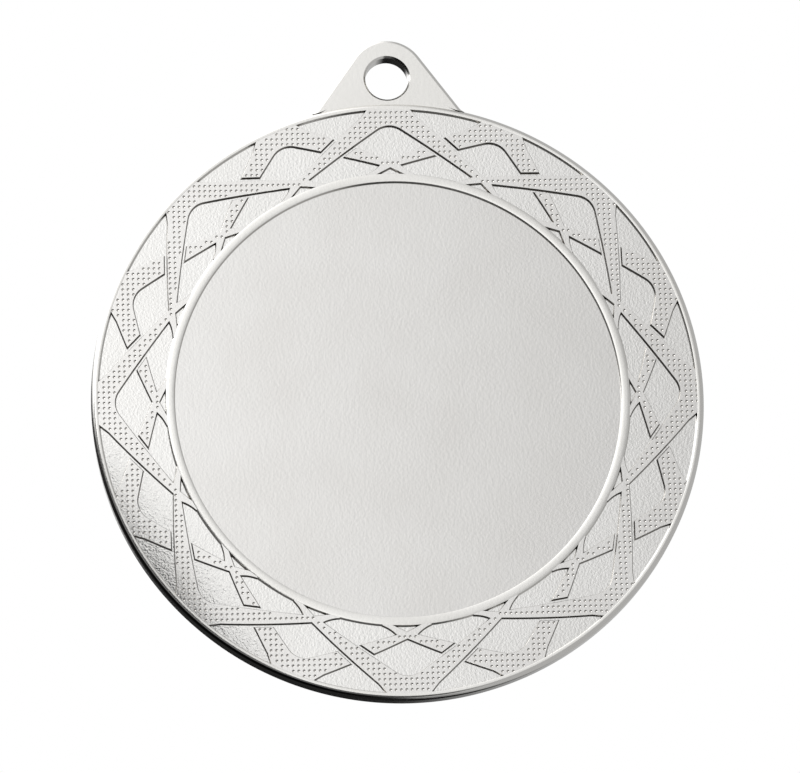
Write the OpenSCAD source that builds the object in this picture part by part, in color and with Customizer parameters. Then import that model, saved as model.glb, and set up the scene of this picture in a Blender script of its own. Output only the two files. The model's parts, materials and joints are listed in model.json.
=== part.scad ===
// Blank award medal, hung by its lug: a round disc with a raised rim, a seat for a round
// emblem in the middle, and between the two a ring of ornament made of crossing chevrons.
// The disc stands upright: +Z is up towards the lug, the front faces -Y, and the origin is
// the centre of the ribbon hole, halfway through the lug.

/* [Disc] */
// Diameter over the rim
disc_d = 70; // [66:0.5:90]
// Thickness over the rim, front to back
disc_t = 3; // [2.6:0.1:5]
// Width of the raised rim
rim_w = 0.85; // [0.6:0.05:2]
// Radius on the rim's two outer edges
rim_round = 0.3; // [0.1:0.05:0.6]
// Depth of the ornament's ground below the front, which the rim, relief and ring share
ground_drop = 0.45; // [0.3:0.05:0.45]
// Depth of the flat reverse below the back of the rim
back_drop = 0.3; // [0.1:0.05:0.5]

/* [Emblem seat] */
// Diameter of the seat, which takes a 50 mm emblem with clearance
seat_d = 51; // [40:0.5:53]
// Depth of the seat below the front
seat_depth = 0.5; // [0.5:0.05:1.2]
// Width of the ring round the seat
ring_w = 1.05; // [0.6:0.05:2]

/* [Lug] */
// Diameter of the ribbon hole
hole_d = 5; // [3:0.1:6.5]
// Chamfer round each mouth of the hole
hole_chamfer = 0.2; // [0.1:0.05:0.4]
// Distance from the disc's edge out to the hole's centre
hole_rise = 3.05; // [2.8:0.05:6]
// Radius of the lug's round top, about the hole's centre
lug_r = 4.6; // [4.2:0.1:8]
// Angle of the lug's sides from the vertical
lug_flare = 35.5; // [25:0.5:42]
// Thickness of the lug
lug_t = 2.4; // [1.5:0.1:5]
// Radius of the hollow corner between the lug's side and the disc
lug_fillet = 1.5; // [0.5:0.1:3]

/* [Ornament] */
// Number of full chevrons round the disc; as many cut ones lie between them
chevrons = 8; // [6:1:10]
// Half the angle over which a chevron's bend meets the rim
bend_angle = 3.9; // [2.5:0.1:5]
// Depth from the rim to where the inner edges of a bend would meet, before rounding
bend_w = 1.35; // [0.8:0.05:1.8]
// Radius inside the bend
bend_round = 2.36; // [1:0.02:3]
// Height above the ring at which two chevrons' outer edges cross
cross_rise = 1.5; // [1.2:0.05:2.5]
// Height above the ring at which a leg's inner edge ends
foot_rise = 1; // [0.7:0.05:1.1]
// Angle between that end and the line on which two legs cross
foot_angle = 2.6; // [2:0.1:3]
// Radius of the leg's foot, where it runs out on the ring
foot_round = 4.5; // [3:0.1:6]
// Height above the ring of the little gap under each crossing
eye_rise = 0.65; // [0.4:0.05:0.9]
// Half the angle of that gap where it meets the ring
eye_angle = 4.6; // [3.5:0.1:5]
// How far the long edges bow outwards at their middle
edge_bow = 0.15; // [0:0.01:0.3]
// Gap between a cut chevron and the full chevron that crosses it
channel_w = 0.3; // [0.15:0.05:0.5]

/* [Hidden] */
$fn = 96;

disc_r = disc_d / 2;
rim_in_r = disc_r - rim_w;          // inside of the rim, outer limit of the ornament
seat_r = seat_d / 2;
ring_r = seat_r + ring_w;           // outside of the ring, inner limit of the ornament
hole_z = disc_r + hole_rise;        // from the disc's centre up to the hole's

// Heights from the disc's middle plane, towards the front
face_h = disc_t / 2;
ground_h = face_h - ground_drop;
floor_h = face_h - seat_depth;
back_h = back_drop - disc_t / 2;

step = 360 / chevrons;              // from one full chevron to the next
half_step = step / 2;               // from a full chevron to the cut one beside it
edge_pieces = 8;                    // straight pieces in each bowed edge
spill = 1;                          // how far outlines run on past the edges that trim them
eps = 0.01;                         // how far a cut runs on past the face it opens

module blank() {
    color("#cfcdc9") upright() difference() {
        layer(back_h, ground_h) circle(r = rim_in_r);
        layer(floor_h, ground_h + eps) circle(r = seat_r);
    }
}

module rim() {
    color("#d6d5d2") upright() rotate_extrude() {
        translate([rim_in_r, -face_h]) square([rim_w - rim_round, disc_t]);
        translate([rim_in_r, -face_h + rim_round]) square([rim_w, disc_t - 2 * rim_round]);
        for (side = [-1, 1])
            translate([disc_r - rim_round, side * (face_h - rim_round)]) circle(r = rim_round);
    }
}

module emblem_ring() {
    color("#d6d5d2") upright() layer(ground_h, face_h) difference() {
        circle(r = ring_r);
        circle(r = seat_r);
    }
}

// The lug's root is hollowed to the rim's outside
module lug() {
    color("#d2d1ce") upright() difference() {
        layer(-lug_t / 2, lug_t / 2) difference() {
            polygon(lug_outline);
            circle(r = disc_r);
        }
        translate([0, hole_z, 0]) {
            cylinder(d = hole_d, h = 2 * lug_t, center = true);
            for (side = [0, 1]) mirror([0, 0, side])
                translate([0, 0, lug_t / 2 - hole_chamfer])
                    cylinder(r1 = hole_d / 2, r2 = hole_d / 2 + 2 * hole_chamfer,
                        h = 2 * hole_chamfer);
        }
    }
}

// Bends at the rim, crosses its neighbours, and runs out on the ring on both sides
module full_chevron(i) {
    color("#c4c2bd") upright() rotate(-step * (i - 1)) layer(ground_h, face_h)
        intersection() {
            ornament_band();
            polygon(chevron_outline);
        }
}

// The upper part of a cut chevron, clear of the full chevrons on both sides of it
module rim_chevron(i) {
    color("#c4c2bd") upright() rotate(-step * (i - 0.5)) layer(ground_h, face_h)
        intersection() {
            ornament_band();
            polygon(chevron_outline);
            polygon(above_neighbours);
        }
}

// The lower legs of two cut chevrons, which cross below a full chevron's bend
module cross_bars(i) {
    color("#c4c2bd") upright() rotate(-step * (i - 1)) layer(ground_h, face_h)
        intersection() {
            ornament_band();
            polygon(below_bend);
            for (side = [-1, 1]) rotate(side * half_step) polygon(chevron_outline);
        }
}

// Stands the disc up and hangs it from the hole
module upright() {
    translate([0, 0, -hole_z]) rotate([90, 0, 0]) children();
}

// A flat layer of the disc between two heights
module layer(from, to) {
    translate([0, 0, from]) linear_extrude(to - from) children();
}

module ornament_band() {
    difference() {
        circle(r = rim_in_r);
        circle(r = ring_r);
    }
}

// Angles are measured clockwise from straight up, seen from the front
function pol(a, r) = [r * sin(a), r * cos(a)];
function bearing(v) = atan2(v.x, v.y);
function unit(v) = v / norm(v);
function turned(pts, a) = [for (p = pts) [p.x * cos(a) + p.y * sin(a), p.y * cos(a) - p.x * sin(a)]];
function reversed(pts) = [for (i = [len(pts) - 1:-1:0]) pts[i]];
function mirrored(pts) = [for (p = reversed(pts)) [-p.x, p.y]];
function shifted(pts, v) = [for (p = pts) p + v];
function arc(c, r, from, to, n) = [for (i = [0:n]) c + pol(from + (to - from) * i / n, r)];
// The direction away from the disc's centre, square to an edge that runs down to the right
function outward(p, q) = unit([p.y - q.y, q.x - p.x]);
function bowed(p, q, bow) = [for (i = [0:edge_pieces]) let (t = i / edge_pieces)
    p + (q - p) * t + outward(p, q) * (4 * bow * t * (1 - t))];

// The lug's round top, its flared side, and the hollow corner that touches that side and the
// disc from outside
side_dir = [sin(lug_flare), -cos(lug_flare)];
side_normal = [cos(lug_flare), sin(lug_flare)];
fillet_line = [0, hole_z] + side_normal * (lug_r + lug_fillet);
fillet_drop = -fillet_line * side_dir
    - sqrt((fillet_line * side_dir) ^ 2 - fillet_line * fillet_line + (disc_r + lug_fillet) ^ 2);
fillet_centre = fillet_line + side_dir * fillet_drop;
half_lug = concat(
    arc([0, hole_z], lug_r, 0, 90 - lug_flare, 12),
    arc(fillet_centre, lug_fillet, 270 - lug_flare, 180 + bearing(fillet_centre), 8),
    [pol(bearing(fillet_centre), disc_r - spill)]
);
lug_outline = concat(half_lug, mirrored(half_lug));

// A full chevron's right half. Its outer edge runs from the rim down to the crossing
rim_point = pol(bend_angle, rim_in_r);
cross_point = pol(half_step, ring_r + cross_rise);
outer_edge = bowed(rim_point, cross_point, edge_bow);

// Its inner edge runs from the rounded bend down to the foot
bend_point = [0, rim_in_r - bend_w];
foot_point = pol(half_step - foot_angle, ring_r + foot_rise);
bend_half = 180 - bearing(foot_point - bend_point);
bend_touch = bend_point + unit(foot_point - bend_point) * (bend_round / tan(bend_half));
bend_centre = bend_point - [0, bend_round / sin(bend_half)];
bend_arc = arc(bend_centre, bend_round, 90 - bend_half, 0, 6);
inner_edge = bowed(bend_touch, foot_point, edge_bow / 2);

// The foot runs out on the ring in a round that bites a little way into it
foot_bite = 0.1;
foot_c_r = ring_r + foot_round - foot_bite;
foot_c_a = bearing(foot_point) - acos((foot_point * foot_point + foot_c_r ^ 2 - foot_round ^ 2)
    / (2 * norm(foot_point) * foot_c_r));
foot_centre = pol(foot_c_a, foot_c_r);
foot_arc = arc(foot_centre, foot_round, foot_c_a + 180, bearing(foot_point - foot_centre), 8);

// The gap under the crossing is a triangle that stands on the ring
eye_point = pol(half_step, ring_r + eye_rise);
eye_corner = pol(half_step - eye_angle, ring_r);
eye_end = eye_point + (eye_corner - eye_point) * 1.2;

half_chevron = concat([pol(bend_angle, rim_in_r + spill)], outer_edge, [eye_point, eye_end],
    foot_arc, reversed(inner_edge), bend_arc);
chevron_outline = concat(half_chevron, mirrored(half_chevron));

// What is left of a cut chevron between its neighbours' outer edges, less the channel
neighbour_edge = turned(mirrored(
    shifted(outer_edge, outward(rim_point, cross_point) * channel_w)), half_step);
above_neighbours = concat(neighbour_edge, [pol(half_step, 2 * disc_r)],
    mirrored(concat(neighbour_edge, [pol(half_step, 2 * disc_r)])));

// What is left of two cut chevrons inside a full chevron's bend, less the channel
below_edge = shifted(inner_edge, -outward(bend_touch, foot_point) * channel_w);
below_bend = concat(below_edge, [[0, 0]], mirrored(below_edge));

blank();
rim();
emblem_ring();
lug();
for (i = [1:chevrons]) {
    full_chevron(i);
    rim_chevron(i);
    cross_bars(i);
}
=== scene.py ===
import json
import math

import bmesh
import bpy
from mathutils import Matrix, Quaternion, Vector


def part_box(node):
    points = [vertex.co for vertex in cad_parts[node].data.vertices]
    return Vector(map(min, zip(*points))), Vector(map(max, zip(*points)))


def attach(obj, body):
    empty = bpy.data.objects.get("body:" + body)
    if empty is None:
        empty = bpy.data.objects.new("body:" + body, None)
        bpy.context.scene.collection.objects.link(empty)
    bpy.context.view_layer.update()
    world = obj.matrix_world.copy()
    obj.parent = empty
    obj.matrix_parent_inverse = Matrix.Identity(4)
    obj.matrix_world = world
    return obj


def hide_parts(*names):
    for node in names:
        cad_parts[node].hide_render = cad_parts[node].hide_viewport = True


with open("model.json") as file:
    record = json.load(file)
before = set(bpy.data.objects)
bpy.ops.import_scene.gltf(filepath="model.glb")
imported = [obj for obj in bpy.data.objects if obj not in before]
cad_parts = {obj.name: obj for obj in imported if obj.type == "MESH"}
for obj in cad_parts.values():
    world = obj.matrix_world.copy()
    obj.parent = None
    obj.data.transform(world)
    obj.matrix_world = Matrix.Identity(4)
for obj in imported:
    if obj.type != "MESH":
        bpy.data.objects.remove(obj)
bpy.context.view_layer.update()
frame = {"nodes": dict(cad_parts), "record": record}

# ---- Struck disc ---------------------------------------------------------------------------
# The body of the medal, steel or zinc alloy struck between two dies. The dies leave a slightly
# grainy ground under the ornament, a plain sunk floor in the middle for the emblem, and a plain
# ground on the reverse. The disc ends inside the rim and under the ring.
mm = 0.001
full_turn = 2 * math.pi
turn_steps = 288                     # pieces in every circle about the disc's axis
embed = 0.15 * mm                    # how far each raised part reaches into the disc
mounts = {mount["name"]: mount for mount in frame["record"]["mounts"]}
rim_low, rim_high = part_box("rim")
ground_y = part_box("blank")[0].y
reverse_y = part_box("blank")[1].y
face_y = rim_low.y
back_y = rim_high.y
disc_r = (rim_high.x - rim_low.x) / 2
rim_in_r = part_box("blank")[1].x
ring_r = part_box("emblem_ring")[1].x
seat_r = mounts["emblem_seat"]["dims"]["r_mm"] * mm
floor_y = mounts["emblem_floor"]["pos_m"][1]
disc_centre = Vector((0, 0, (rim_low.z + rim_high.z) / 2))


def turned(profile, closed):
    """A shape turned about the disc's axis. The profile is radius, y and corner rounding."""
    bm = bmesh.new()
    corners = [bm.verts.new((r, y, disc_centre.z)) for r, y, rounding in profile]
    for start, end in zip(corners, corners[1:] + corners[:1] if closed else corners[1:]):
        bm.edges.new((start, end))
    for corner, (r, y, rounding) in zip(corners, profile):
        if rounding:
            bmesh.ops.bevel(bm, geom=[corner], offset=rounding, segments=5, profile=0.5,
                            affect="VERTICES", material=-1)
    bmesh.ops.spin(bm, geom=bm.verts[:] + bm.edges[:], cent=disc_centre, axis=(0, 1, 0),
                   angle=full_turn, steps=turn_steps, use_merge=True)
    bmesh.ops.remove_doubles(bm, verts=bm.verts[:], dist=0.001 * mm)
    bmesh.ops.recalc_face_normals(bm, faces=bm.faces[:])
    return bm


def finished(bm, name, material, nodes, sharp=30):
    """The finished piece: smooth but for its sharp edges, in place of its CAD nodes."""
    mesh = bpy.data.meshes.new(name)
    bm.to_mesh(mesh)
    bm.free()
    mesh.shade_smooth()
    mesh.set_sharp_from_angle(angle=math.radians(sharp))
    mesh.materials.append(material)
    piece = bpy.data.objects.new(name, mesh)
    bpy.context.scene.collection.objects.link(piece)
    even = piece.modifiers.new("flat faces stay flat", "WEIGHTED_NORMAL")
    even.keep_sharp = True
    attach(piece, "root")
    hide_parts(*nodes)
    return piece


def colour(code):
    """An sRGB hex colour as linear RGBA."""
    parts = [int(code[i:i + 2], 16) / 255 for i in (1, 3, 5)]
    return [c / 12.92 if c <= 0.04045 else ((c + 0.055) / 1.055) ** 2.4 for c in parts] + [1]


def add(tree, kind, inputs, **settings):
    """Adds a node with its settings. An input is a value, or the socket that feeds it."""
    node = tree.nodes.new(kind)
    for name, value in settings.items():
        setattr(node, name, value)
    for name, value in inputs.items():
        if isinstance(value, bpy.types.NodeSocket):
            tree.links.new(value, node.inputs[name])
        else:
            node.inputs[name].default_value = value
    return node


cloud_size = 9 * mm                  # patches where the plate is faintly duller
hairline_gap = 0.08 * mm             # between the hairlines that polishing leaves
hairline_turn = 0.6                  # how far the hairlines lean, in radians
hairline_stretch = 0.03              # a hairline is about 30 times as long as it is wide


def nickel(name, tone, dull_tone, roughness, grain, grain_depth, hairlines):
    """Bright nickel plate. The grain's size and depth and the hairlines' depth are in metres."""
    material = bpy.data.materials.new(name)
    material.use_nodes = True
    tree = material.node_tree
    plate = tree.nodes["Principled BSDF"]
    plate.inputs["Metallic"].default_value = 1
    place = add(tree, "ShaderNodeTexCoord", {}).outputs["Object"]
    clouds = add(tree, "ShaderNodeTexNoise", {"Vector": place, "Scale": 1 / cloud_size,
                 "Detail": 3})
    tint = add(tree, "ShaderNodeMix", {"Factor": clouds.outputs["Fac"], "A": colour(tone),
               "B": colour(dull_tone)}, data_type="RGBA")
    tree.links.new(tint.outputs["Result"], plate.inputs["Base Color"])
    gloss = add(tree, "ShaderNodeMapRange", {"Value": clouds.outputs["Fac"],
                "To Min": roughness * 0.8, "To Max": roughness * 1.2})
    tree.links.new(gloss.outputs["Result"], plate.inputs["Roughness"])
    peel = add(tree, "ShaderNodeTexNoise", {"Vector": place, "Scale": 1 / grain, "Detail": 2,
               "Roughness": 0.6})
    lay = add(tree, "ShaderNodeMapping", {"Vector": place, "Rotation": (0, hairline_turn, 0),
              "Scale": (1, 1, hairline_stretch)})
    lines = add(tree, "ShaderNodeTexNoise", {"Vector": lay.outputs["Vector"],
                "Scale": 1 / hairline_gap, "Detail": 1})
    relief = add(tree, "ShaderNodeBump", {"Height": peel.outputs["Fac"], "Distance": grain_depth})
    relief = add(tree, "ShaderNodeBump", {"Height": lines.outputs["Fac"], "Distance": hairlines,
                 "Normal": relief.outputs["Normal"]})
    tree.links.new(relief.outputs["Normal"], plate.inputs["Normal"])
    return material


# Nickel over a struck ground: the die's fine pitting shows as orange peel that breaks up
# reflections, coarser than the real grain of about 0.05 mm so that it shows.
struck_nickel = nickel("struck nickel plate", "#e5e4e2", "#dbd9d6", 0.13, 0.30 * mm,
                       0.008 * mm, 0.0004 * mm)

disc_profile = [
    (0, floor_y, 0),
    (seat_r + embed, floor_y, 0),
    (seat_r + embed, ground_y, 0),
    (rim_in_r + 2 * embed, ground_y, 0),
    (rim_in_r + 2 * embed, reverse_y, 0),
    (0, reverse_y, 0),
]
disc = finished(turned(disc_profile, closed=False), "struck_disc", struck_nickel,
                ["blank"])

# The ground under the ornament is grainier than the emblem's floor, so the reflection of a
# dark edge breaks up into mottling there.
ground_nickel = nickel("struck nickel plate, coarse ground", "#edecea", "#e4e3e0", 0.11,
                       0.24 * mm, 0.015 * mm, 0.0004 * mm)
disc.data.materials.append(ground_nickel)
for face in disc.data.polygons:
    face.material_index = abs(face.center.y - ground_y) < 0.01 * mm

# ---- Rim -----------------------------------------------------------------------------------
# The raised border, struck with the disc and polished with its edge. Its inner wall slopes as
# the die's does, its top is slightly crowned, and both outer edges are tumbled round.
draft = 0.13 * mm                    # how far every wall of the relief slopes
crown = 0.01 * mm                    # how much the rim's and ring's tops are domed
rim_low_y = face_y + crown
edge_round = 0.45 * mm               # rounding of the outer edges, front to back
edge_slope = 0.36 * mm               # and across the rim

# Nickel over a polished edge: nearly a mirror, with faint hairlines from polishing.
polished_nickel = nickel("polished nickel plate", "#efeeeb", "#e4e2de", 0.16, 0.45 * mm,
                         0.004 * mm, 0.0006 * mm)

rim_mid_r = (rim_in_r + disc_r - edge_slope) / 2
rim_profile = [
    (rim_in_r - draft / 2, ground_y + embed, 0),
    (rim_in_r - draft / 2, ground_y, 0),
    (rim_in_r + draft / 2, rim_low_y, 0.03 * mm),
    (rim_mid_r, face_y, 0.1 * mm),
    (disc_r - edge_slope, face_y + crown / 2, 0.12 * mm),
    (disc_r, face_y + edge_round, 0.2 * mm),
    (disc_r, back_y - edge_round, 0.2 * mm),
    (disc_r - edge_slope, back_y - crown / 2, 0.12 * mm),
    (rim_mid_r, back_y, 0.15 * mm),
    (rim_in_r + draft / 2, back_y - crown, 0.03 * mm),
    (rim_in_r - draft / 2, reverse_y, 0),
    (rim_in_r - draft / 2, reverse_y - embed, 0),
]
finished(turned(rim_profile, closed=True), "polished_rim", polished_nickel,
         ["rim"])

# ---- Emblem ring ---------------------------------------------------------------------------
# The raised ring that frames the emblem. Its inner wall is the seat's wall, down to the floor.
ring_mid_r = (seat_r + ring_r) / 2
seat_draft = 0.1 * mm                # how far the seat's wall slopes
ring_profile = [
    (seat_r - seat_draft / 2, floor_y + embed, 0),
    (seat_r - seat_draft / 2, floor_y, 0),
    (seat_r + seat_draft / 2, rim_low_y, 0.02 * mm),
    (ring_mid_r, face_y, 0.15 * mm),
    (ring_r - draft / 2, rim_low_y, 0.03 * mm),
    (ring_r + draft / 2, ground_y, 0),
    (ring_r + draft / 2, floor_y + embed, 0),
]
finished(turned(ring_profile, closed=True), "polished_ring", polished_nickel,
         ["emblem_ring"])

# ---- Ribbon lug ----------------------------------------------------------------------------
# The ear that the ribbon's ring passes through. It is struck with the disc, a little thinner
# than the rim, its edges are tumbled round, and its hole is drilled and countersunk.
hole_r = mounts["ribbon_hole"]["dims"]["r_mm"] * mm
lug_low, lug_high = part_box("lug")
lug_round = 0.3 * mm
countersink = 0.22 * mm
lug_root = 0.4 * mm                  # how far the lug runs on into the rim
flat_border = 0.08 * mm              # keeps the shading of the rounded edge off the flat face


def front_corners(node):
    """The corners round the flat front of a CAD node, in order."""
    bm = bmesh.new()
    bm.from_mesh(frame["nodes"][node].data)
    bmesh.ops.remove_doubles(bm, verts=bm.verts[:], dist=0.001 * mm)
    front_y = min(v.co.y for v in bm.verts)
    others = [f for f in bm.faces if max(v.co.y for v in f.verts) > front_y + 0.001 * mm]
    bmesh.ops.delete(bm, geom=others, context="FACES")
    bmesh.ops.dissolve_faces(bm, faces=bm.faces[:])
    corners = [v.co.copy() for v in bm.faces[:][0].verts]
    bm.free()
    return corners


def to_radius(verts, radius):
    """Moves vertices straight out or in to a radius about the disc's axis."""
    for vert in verts:
        spoke = vert.co - disc_centre
        spoke.y = 0
        vert.co += spoke.normalized() * radius - spoke


def radius_at(point):
    """A point's distance from the disc's axis."""
    return math.hypot(point.x, point.z - disc_centre.z)


front = bmesh.new()
front.from_mesh(frame["nodes"]["lug"].data)
bmesh.ops.remove_doubles(front, verts=front.verts[:], dist=0.001 * mm)
clear_of_hole = 1.4 * hole_r
outline_edges = [e for e in front.edges
                 if all(abs(v.co.y - lug_low.y) < 0.001 * mm
                        and v.co.xz.length > clear_of_hole for v in e.verts)
                 and e.calc_face_angle(0) > 1]
lug = bmesh.new()
copies = {}
for edge in outline_edges:
    for vert in edge.verts:
        if vert not in copies:
            copies[vert] = lug.verts.new(vert.co)
    lug.edges.new([copies[v] for v in edge.verts])
front.free()
to_radius([v for v in lug.verts if radius_at(v.co) < disc_r + 0.005 * mm], disc_r - lug_root)
bmesh.ops.contextual_create(lug, geom=lug.edges[:])
side = bmesh.ops.extrude_face_region(lug, geom=lug.faces[:])
bmesh.ops.translate(lug, verts=[v for v in side["geom"] if isinstance(v, bmesh.types.BMVert)],
                    vec=(0, lug_high.y - lug_low.y, 0))
bmesh.ops.bevel(lug, geom=[e for e in lug.edges if abs(e.verts[0].co.y - e.verts[1].co.y) < 1e-7],
                offset=lug_round, segments=4, profile=0.5, affect="EDGES", material=-1)
ends = [f for f in lug.faces if len(f.verts) > 8]
bmesh.ops.inset_region(lug, faces=ends, thickness=flat_border, use_boundary=True,
                       use_even_offset=True)
bmesh.ops.delete(lug, geom=ends, context="FACES_ONLY")
hole_profile = [(hole_r + countersink, lug_low.y), (hole_r, lug_low.y + countersink),
                (hole_r, lug_high.y - countersink), (hole_r + countersink, lug_high.y)]
wall = [lug.verts.new((r, y, 0)) for r, y in hole_profile]
wall += [lug.edges.new(pair) for pair in zip(wall, wall[1:])]
bmesh.ops.spin(lug, geom=wall, cent=(0, 0, 0), axis=(0, 1, 0), angle=full_turn, steps=64,
               use_merge=True)
rims = [e for e in lug.edges if e.is_boundary]
for end in (lug_low.y, lug_high.y):
    bmesh.ops.triangle_fill(lug, use_beauty=True, normal=(0, 1, 0),
                            edges=[e for e in rims if abs(e.verts[0].co.y - end) < 1e-7])
bmesh.ops.recalc_face_normals(lug, faces=lug.faces[:])
finished(lug, "ribbon_lug", polished_nickel, ["lug"])

# ---- Ornament ------------------------------------------------------------------------------
# The raised bands between the rim and the ring, struck flush with both. Their walls slope,
# their edges are faintly rounded, and a square grid of round pits, cut in the die as pimples,
# fills each band and stops short of its sides.
pitch = 0.604 * mm
pit_r = 0.17 * mm
pit_rings = [(1, 0), (0.75, 0.045 * mm), (0.42, 0.07 * mm)]
pit_sides = 8
pit_margin = 0.01 * mm               # least distance from a pit to a band's side
band_round = 0.03 * mm
band_y = rim_low_y
plate, pit_shade, shaded_wall = range(3)  # the order of a band's materials
steepness = 0.5                      # faces that look forward less than this are walls
band_reach = 0.35 * mm               # how far the bands run on into the ring and the rim
band_in_r = ring_r - band_reach
band_out_r = rim_in_r + band_reach
bare_foot = 0.9 * mm                 # the bands have no pits this near to the ring


def inside(point, sides):
    """Whether a line from the point to the right crosses an odd number of the outline's sides."""
    return sum((a.z > point.z) != (b.z > point.z)
               and point.x < a.x + (point.z - a.z) / (b.z - a.z) * (b.x - a.x)
               for a, b in sides) % 2 == 1


def gap(point, a, b):
    """The distance from a point to the side between a and b."""
    along = b - a
    share = max(0, min(1, (point - a).dot(along) / along.length_squared))
    return (point - a - along * share).length


def pit(bm, place):
    """A round pit sunk below a place on a band's top. Gives the edges of its mouth."""
    turns = [full_turn * (k + 0.5) / pit_sides for k in range(pit_sides)]
    rings = [[bm.verts.new(place + Vector((pit_r * share * math.cos(turn), depth,
                                           pit_r * share * math.sin(turn))))
              for turn in turns] for share, depth in pit_rings]
    for upper, lower in zip(rings, rings[1:]):
        for k in range(pit_sides):
            wall = bm.faces.new((upper[k - 1], upper[k], lower[k], lower[k - 1]))
            # The lower walls and the bottom take the darker pit plate: painted shade in the pit.
            wall.material_index = pit_shade if lower is rings[-1] else plate
    bm.faces.new(rings[-1]).material_index = pit_shade
    return [bm.edges.get((rings[0][k - 1], rings[0][k])) for k in range(pit_sides)]


def band(name, *nodes):
    """A raised band with sloping walls and a pitted top, from the fronts of touching CAD nodes."""
    bm = bmesh.new()
    for node in nodes:
        bm.faces.new([bm.verts.new(corner) for corner in front_corners(node)])
    bmesh.ops.remove_doubles(bm, verts=bm.verts[:], dist=0.01 * mm)
    # Corners that hardly turn would make slivers in the walls
    spare = [v for v in bm.verts if v.calc_edge_angle(1) < math.radians(2)
             and min(e.calc_length() for e in v.link_edges) < draft]
    bmesh.ops.dissolve_verts(bm, verts=spare)
    # The ends run on into the rim and the ring
    to_radius([v for v in bm.verts if radius_at(v.co) > rim_in_r - 0.02 * mm], band_out_r)
    to_radius([v for v in bm.verts if radius_at(v.co) < ring_r + 0.02 * mm], band_in_r)
    tops = bm.faces[:]
    for top in tops:
        top.normal_update()
        if top.normal.y > 0:
            top.normal_flip()
    # The foot is wider than the outline by half the slope, and the top narrower by as much
    bmesh.ops.inset_region(bm, faces=tops, thickness=-draft / 2, use_boundary=True,
                           use_even_offset=True)
    bmesh.ops.delete(bm, geom=[f for f in bm.faces if f not in tops], context="FACES")
    for vert in bm.verts:
        vert.co.y = ground_y + embed
    for top in tops:
        top.copy()                   # stays behind as the underside
    for thickness, y in ((0, ground_y), (draft - band_round / 2, band_y + band_round / 2),
                         (band_round / 2, band_y)):
        bmesh.ops.inset_region(bm, faces=tops, thickness=thickness, use_boundary=True,
                               use_even_offset=True)
        for vert in {v for f in tops for v in f.verts}:
            vert.co.y = y
    # The flat tops make way for a fill round the pits
    outline = [e for f in tops for e in f.edges if sum(g in tops for g in e.link_faces) == 1]
    joins = {e for f in tops for e in f.edges if sum(g in tops for g in e.link_faces) == 2}
    sides = [tuple(v.co.copy() for v in e.verts) for e in outline]
    flanks = [s for s in sides if min(radius_at(p) for p in s) < band_out_r - 0.3 * mm]
    bmesh.ops.delete(bm, geom=tops, context="FACES_ONLY")
    bmesh.ops.delete(bm, geom=list(joins), context="EDGES")
    low, high = [Vector(map(f, *(p for s in sides for p in s))) for f in (min, max)]
    fill = outline
    for column in range(math.floor(low.x / pitch), math.ceil(high.x / pitch)):
        for row in range(math.floor((low.z - disc_centre.z) / pitch),
                         math.ceil((high.z - disc_centre.z) / pitch) + 1):
            place = disc_centre + Vector(((column + 0.5) * pitch, 0, row * pitch))
            place.y = band_y
            if (inside(place, sides) and ring_r + bare_foot < radius_at(place) < rim_in_r
                    and all(gap(place, a, b) > pit_r + pit_margin for a, b in flanks)):
                fill += pit(bm, place)
    bmesh.ops.triangle_fill(bm, use_beauty=True, normal=(0, -1, 0), edges=fill)
    bmesh.ops.remove_doubles(bm, verts=bm.verts[:], dist=0.0001 * mm)
    bmesh.ops.recalc_face_normals(bm, faces=bm.faces[:])
    # Steep faces take the darker wall plate: painted shade on the walls of the bands.
    for face in bm.faces:
        if face.material_index == plate and abs(face.normal.y) < steepness:
            face.material_index = shaded_wall
    piece = finished(bm, name, banded_nickel, nodes)
    piece.data.materials.append(pit_shade_nickel)
    piece.data.materials.append(wall_shade_nickel)


# Nickel over the tops of the bands: smoother than the ground, so the pits stand out.
banded_nickel = nickel("nickel plate on struck bands", "#ebeae8", "#e1dfdc", 0.13, 0.2 * mm,
                       0.006 * mm, 0.0003 * mm)

# The lower walls and bottoms of the pits: a darker plate, painted shade in the hollows.
pit_shade_nickel = nickel("painted shade in the pits", "#cfccc8", "#b4b1ac", 0.12, 0.1 * mm, 0.002 * mm, 0)

# The steep walls of the bands, where the polishing mop does not reach and the plate stays dull,
# with a darker plate there as painted shade.
wall_shade_nickel = nickel("unpolished plate on the walls, painted shade", "#9a9793", "#817e7a", 0.28, 0.1 * mm,
                     0.002 * mm, 0)

chevrons = sum(node.startswith("full_chevron_") for node in frame["nodes"])
band("pitted_full_chevrons", *[f"full_chevron_{i + 1}" for i in range(chevrons)])
for i in range(chevrons):
    band(f"pitted_rim_chevron_{i + 1}", f"rim_chevron_{i + 1}")
    band(f"pitted_cross_bars_{i + 1}", f"cross_bars_{i + 1}")

# ---- Floor, light and camera ---------------------------------------------------------------
# A plain pale floor below the hanging medal. The light is a soft white surround, brighter to
# the left, with two dark patches at the lower left, in front and behind, that draw the edges.
def staged(name, bm, tone, roughness):
    """A plain matt object that stands round the medal and is no part of it."""
    mesh = bpy.data.meshes.new(name)
    bm.to_mesh(mesh)
    bm.free()
    matt = bpy.data.materials.new("matt " + name)
    matt.use_nodes = True
    shader = matt.node_tree.nodes["Principled BSDF"]
    shader.inputs["Base Color"].default_value = colour(tone)
    shader.inputs["Roughness"].default_value = roughness
    mesh.materials.append(matt)
    item = bpy.data.objects.new(name, mesh)
    bpy.context.scene.collection.objects.link(item)
    return item


bm = bmesh.new()
bmesh.ops.create_grid(bm, x_segments=1, y_segments=1, size=1.5)
bmesh.ops.translate(bm, verts=bm.verts[:], vec=(0, 0, rim_low.z - 200 * mm))
floor = staged("floor", bm, "#f2f2f1", 0.9)
floor.visible_glossy = False

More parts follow.
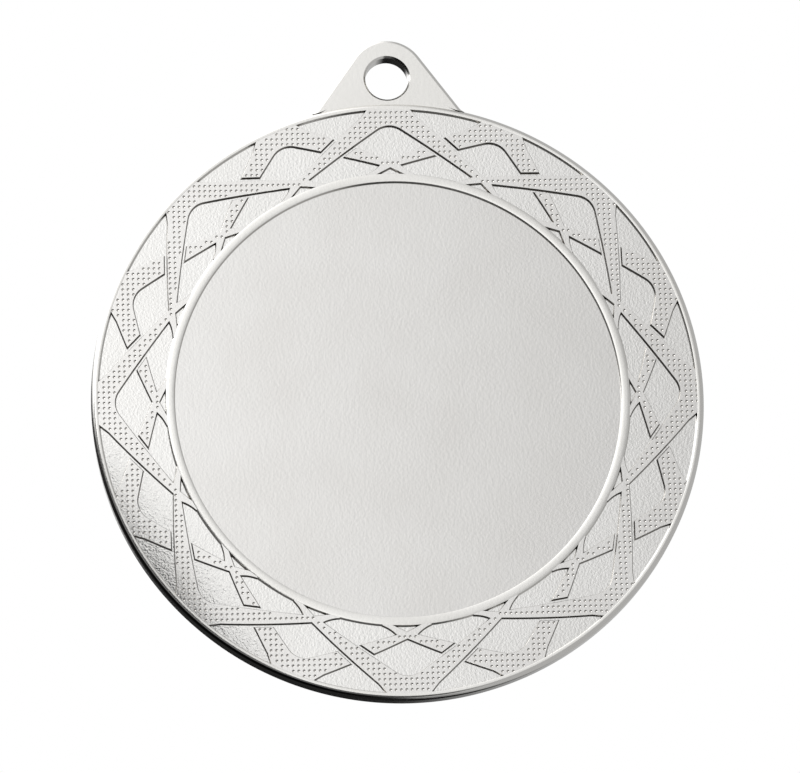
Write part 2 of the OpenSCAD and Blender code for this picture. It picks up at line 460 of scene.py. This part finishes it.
# A dark card close in front of the lower left, whose edge the grain of the ground picks up. It
# is a curved strip that is widest in its middle.
card_middle = Vector((4 * mm, -62 * mm, -23.3 * mm))
card_in_r = 37.2 * mm
card_out_r = 60 * mm
card_taper = 6 * mm                  # how much narrower the strip is at its ends
card_from, card_to, card_step = 8, 64, 4   # degrees below the medal's left
bm = bmesh.new()
rows = []
for degrees in range(card_from, card_to + 1, card_step):
    across = Vector((-math.cos(math.radians(degrees)), 0, -math.sin(math.radians(degrees))))
    off_middle = (degrees - (card_from + card_to) / 2) / ((card_to - card_from) / 2)
    rows.append([bm.verts.new(card_middle + across * r)
                 for r in (card_in_r + card_taper * off_middle ** 2, card_out_r)])
for row, following in zip(rows, rows[1:]):
    bm.faces.new((row[0], following[0], following[1], row[1]))
card = staged("dark card", bm, "#080808", 1)
card.visible_camera = False
card.visible_shadow = False

# The surround lights the medal with its dark patches, and the camera sees it plain white.
world = bpy.data.worlds.new("studio")
bpy.context.scene.world = world
world.use_nodes = True
tree = world.node_tree
tree.nodes.clear()
ray = add(tree, "ShaderNodeTexCoord", {}).outputs["Generated"]


def toward(direction):
    """How nearly a ray points in a direction: 1 along it, -1 away from it."""
    return add(tree, "ShaderNodeVectorMath", {0: ray, 1: Vector(direction).normalized()},
               operation="DOT_PRODUCT").outputs["Value"]


left_to_right = add(tree, "ShaderNodeMapRange", {"Value": toward((1, 0, 0)), "From Min": -0.25,
                    "From Max": 0.2, "To Min": 2.0, "To Max": 0.5})
light = left_to_right.outputs["Result"]

# Each dark patch has its direction, where its edge starts and ends, and the light it lets by.
walls_patch = ((-0.62, -0.5, -0.6), 0.56, 0.62, 0.08)
edge_patch = ((-0.6, 0.55, -0.6), 0.4, 0.6, 0.01)
for direction, fade_from, fade_to, darkest in (walls_patch, edge_patch):
    patch = add(tree, "ShaderNodeMapRange", {"Value": toward(direction), "From Min": fade_from,
                "From Max": fade_to, "To Min": 1, "To Max": darkest})
    light = add(tree, "ShaderNodeMath", {0: light, 1: patch.outputs["Result"]},
                operation="MULTIPLY").outputs["Value"]
soft = add(tree, "ShaderNodeBackground", {"Color": colour("#ffffff"), "Strength": light})
plain = add(tree, "ShaderNodeBackground", {"Color": colour("#ffffff"), "Strength": 1.0})
seen = add(tree, "ShaderNodeLightPath", {})
both = add(tree, "ShaderNodeMixShader", {0: seen.outputs["Is Camera Ray"],
           1: soft.outputs["Background"], 2: plain.outputs["Background"]})
add(tree, "ShaderNodeOutputWorld", {"Surface": both.outputs["Shader"]})

lamp = bpy.data.lights.new("soft lamp", "AREA")
lamp.energy = 0.6
lamp.size = 0.25
lamp_object = bpy.data.objects.new("soft lamp", lamp)
lamp_object.location = (-0.4, -0.3, 0.25)
to_medal = disc_centre - lamp_object.location
lamp_object.rotation_euler = to_medal.to_track_quat("-Z", "Y").to_euler()
bpy.context.scene.collection.objects.link(lamp_object)

view = bpy.data.cameras.new("camera")
view.lens = 225
view.clip_start = 0.01
camera = bpy.data.objects.new("camera", view)
camera.location = (-0.03623, -0.55385, -0.17223)   # below the medal and a little to its left
aim = Vector((0.0002, -0.0014, -0.03681))
turn = (aim - camera.location).to_track_quat("-Z", "Y")
turn @= Quaternion((0, 0, 1), math.radians(-2.1))
camera.rotation_euler = turn.to_euler()
bpy.context.scene.collection.objects.link(camera)
bpy.context.scene.camera = camera
bpy.context.scene.view_settings.view_transform = "Standard"
